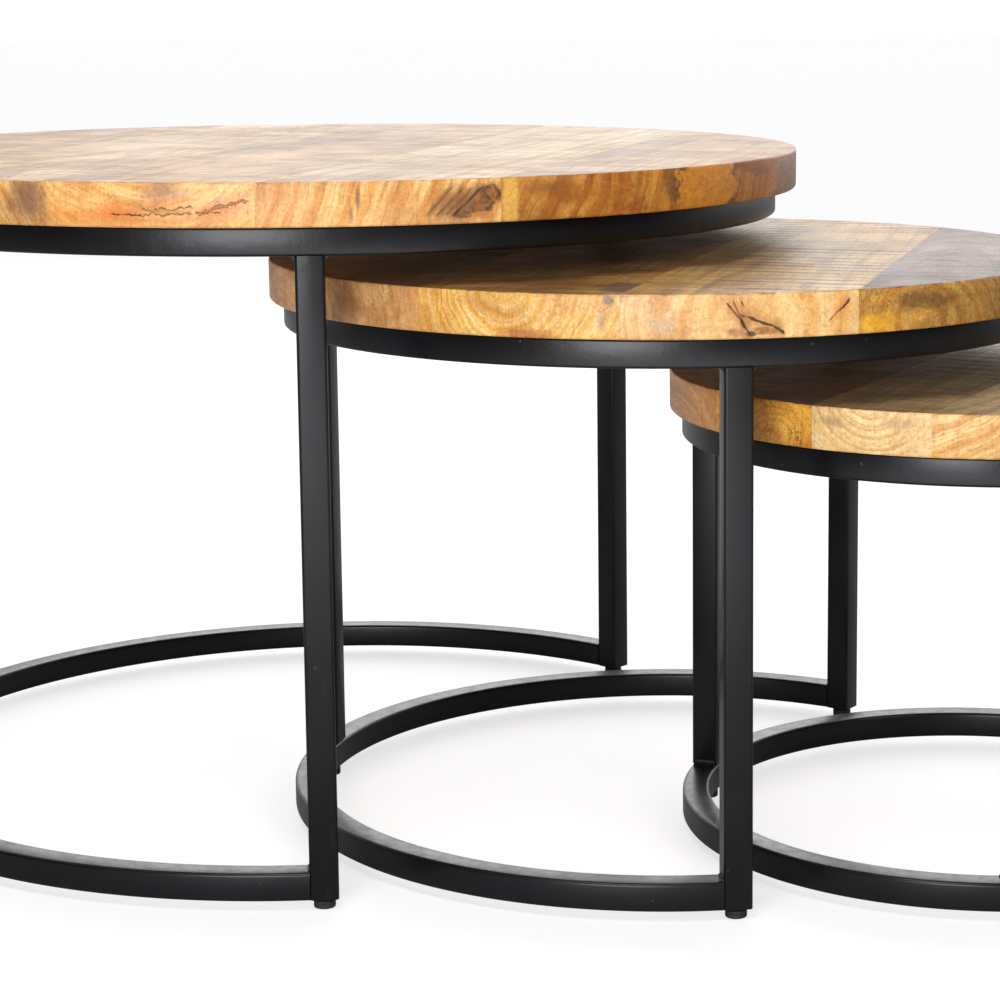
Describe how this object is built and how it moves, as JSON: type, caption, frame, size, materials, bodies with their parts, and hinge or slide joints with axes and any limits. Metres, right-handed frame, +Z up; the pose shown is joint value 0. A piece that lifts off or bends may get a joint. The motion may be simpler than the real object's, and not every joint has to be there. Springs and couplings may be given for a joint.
{
  "type": "nesting coffee tables",
  "caption": "Round nesting coffee tables: glued hardwood board tops on black square-tube frames, each with an open base ring so the smaller tables slide under.",
  "frame": {"origin": "middle of the footprint of the whole set as it stands fanned out, at floor level", "axes": "+X along the way the smaller tables fan out, +Y to the back, +Z up"},
  "size_m": [1.0193, 0.7091, 0.45],
  "materials": {
    "mango_wood": "oiled solid boards, rough-sawn tops",
    "black_steel": "satin black powder coat",
    "glide_plastic": "moulded matt black",
    "screw_zinc": "zinc plated"
  },
  "bodies": {
    "large_table": {"large_board_1": "mango_wood", "large_board_2": "mango_wood", "large_board_3": "mango_wood", "large_board_4": "mango_wood", "large_board_5": "mango_wood", "large_top_ring": "black_steel", "large_base_ring": "black_steel", "large_leg_front": "black_steel", "large_leg_rear": "black_steel", "large_leg_back": "black_steel", "large_tab_1": "black_steel", "large_tab_2": "black_steel", "large_tab_3": "black_steel", "large_screw_1": "screw_zinc", "large_screw_2": "screw_zinc", "large_screw_3": "screw_zinc"},
    "large_glide_front": {"large_foot_front": "glide_plastic"},
    "large_glide_rear": {"large_foot_rear": "glide_plastic"},
    "large_glide_back": {"large_foot_back": "glide_plastic"},
    "medium_table": {"medium_board_1": "mango_wood", "medium_board_2": "mango_wood", "medium_board_3": "mango_wood", "medium_board_4": "mango_wood", "medium_top_ring": "black_steel", "medium_base_ring": "black_steel", "medium_leg_front": "black_steel", "medium_leg_rear": "black_steel", "medium_leg_back": "black_steel", "medium_tab_1": "black_steel", "medium_tab_2": "black_steel", "medium_tab_3": "black_steel", "medium_screw_1": "screw_zinc", "medium_screw_2": "screw_zinc", "medium_screw_3": "screw_zinc"},
    "medium_glide_front": {"medium_foot_front": "glide_plastic"},
    "medium_glide_rear": {"medium_foot_rear": "glide_plastic"},
    "medium_glide_back": {"medium_foot_back": "glide_plastic"},
    "small_table": {"small_board_1": "mango_wood", "small_board_2": "mango_wood", "small_board_3": "mango_wood", "small_board_4": "mango_wood", "small_board_5": "mango_wood", "small_top_ring": "black_steel", "small_base_ring": "black_steel", "small_leg_front": "black_steel", "small_leg_rear": "black_steel", "small_leg_back": "black_steel", "small_tab_1": "black_steel", "small_tab_2": "black_steel", "small_tab_3": "black_steel", "small_screw_1": "screw_zinc", "small_screw_2": "screw_zinc", "small_screw_3": "screw_zinc"},
    "small_glide_front": {"small_foot_front": "glide_plastic"},
    "small_glide_rear": {"small_foot_rear": "glide_plastic"},
    "small_glide_back": {"small_foot_back": "glide_plastic"}
  },
  "joints": [
    {"name": "medium_slide", "type": "slide", "parent": "large_table", "child": "medium_table", "axis": [0.9373, -0.3486, 0], "range_m": [-0.269, 0.345]},
    {"name": "small_slide", "type": "slide", "parent": "medium_table", "child": "small_table", "axis": [0.9622, -0.2723, 0], "range_m": [-0.22, 0.26]},
    {"name": "large_glide_front_screw", "type": "slide", "parent": "large_table", "child": "large_glide_front", "axis": [0, 0, -1], "range_m": [0, 0.008]},
    {"name": "large_glide_rear_screw", "type": "slide", "parent": "large_table", "child": "large_glide_rear", "axis": [0, 0, -1], "range_m": [0, 0.008]},
    {"name": "large_glide_back_screw", "type": "slide", "parent": "large_table", "child": "large_glide_back", "axis": [0, 0, -1], "range_m": [0, 0.008]},
    {"name": "medium_glide_front_screw", "type": "slide", "parent": "medium_table", "child": "medium_glide_front", "axis": [0, 0, -1], "range_m": [0, 0.008]},
    {"name": "medium_glide_rear_screw", "type": "slide", "parent": "medium_table", "child": "medium_glide_rear", "axis": [0, 0, -1], "range_m": [0, 0.008]},
    {"name": "medium_glide_back_screw", "type": "slide", "parent": "medium_table", "child": "medium_glide_back", "axis": [0, 0, -1], "range_m": [0, 0.008]},
    {"name": "small_glide_front_screw", "type": "slide", "parent": "small_table", "child": "small_glide_front", "axis": [0, 0, -1], "range_m": [0, 0.008]},
    {"name": "small_glide_rear_screw", "type": "slide", "parent": "small_table", "child": "small_glide_rear", "axis": [0, 0, -1], "range_m": [0, 0.008]},
    {"name": "small_glide_back_screw", "type": "slide", "parent": "small_table", "child": "small_glide_back", "axis": [0, 0, -1], "range_m": [0, 0.008]}
  ]
}
